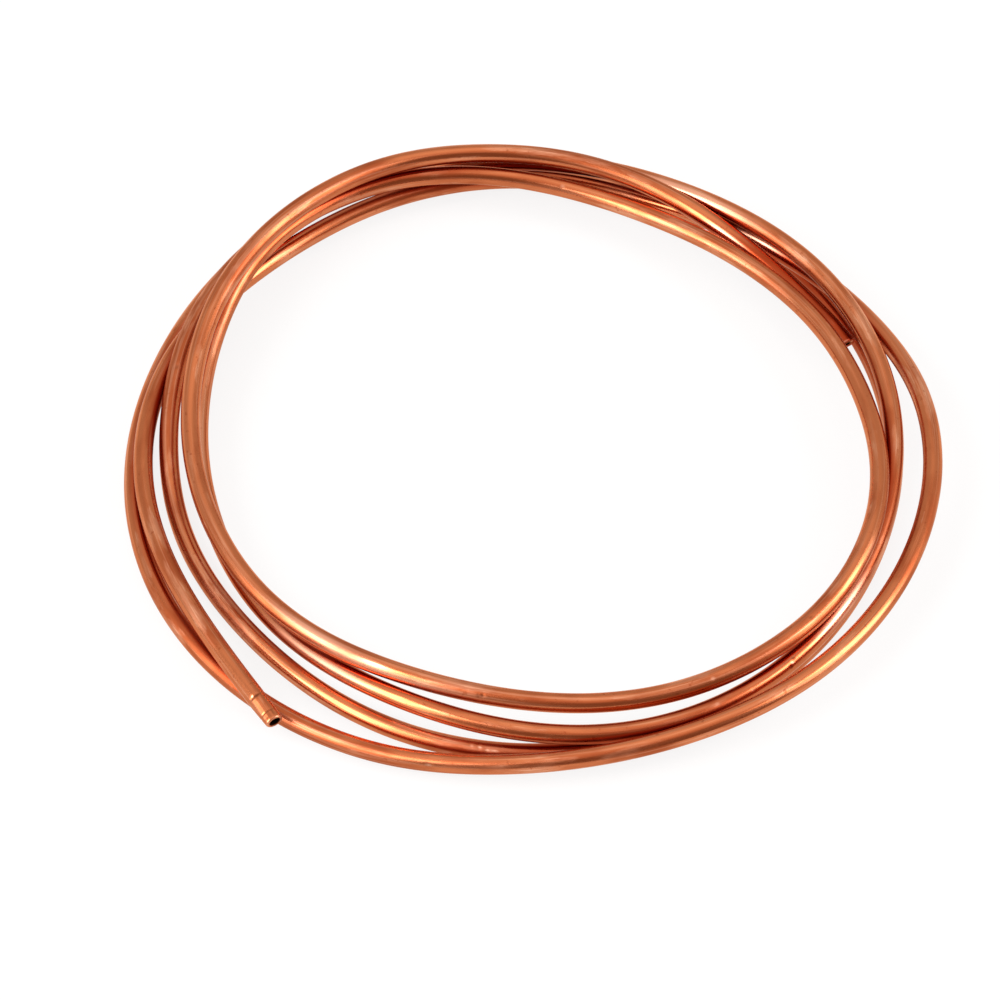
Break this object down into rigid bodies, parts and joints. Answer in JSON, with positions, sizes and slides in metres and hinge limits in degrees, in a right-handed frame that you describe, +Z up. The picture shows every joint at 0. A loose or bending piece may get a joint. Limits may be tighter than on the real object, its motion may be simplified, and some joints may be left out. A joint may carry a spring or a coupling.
{
  "type": "copper tube coil",
  "caption": "Loose hand-wound coil of thin soft copper tube, lying flat, with one open end standing out at the side.",
  "frame": {"origin": "middle of the coil's bounding box, at the level of the floor that it lies on", "axes": "+Z up through the coil's eye, -Y towards the side where the outer open end comes out, +X to the right seen from there"},
  "size_m": [0.1658, 0.1672, 0.0175],
  "materials": {
    "copper": "drawn soft copper with a satin sheen, light handling marks and a slightly warm tarnish"
  },
  "bodies": {
    "root": {"copper_tube": "copper"}
  },
  "joints": []
}
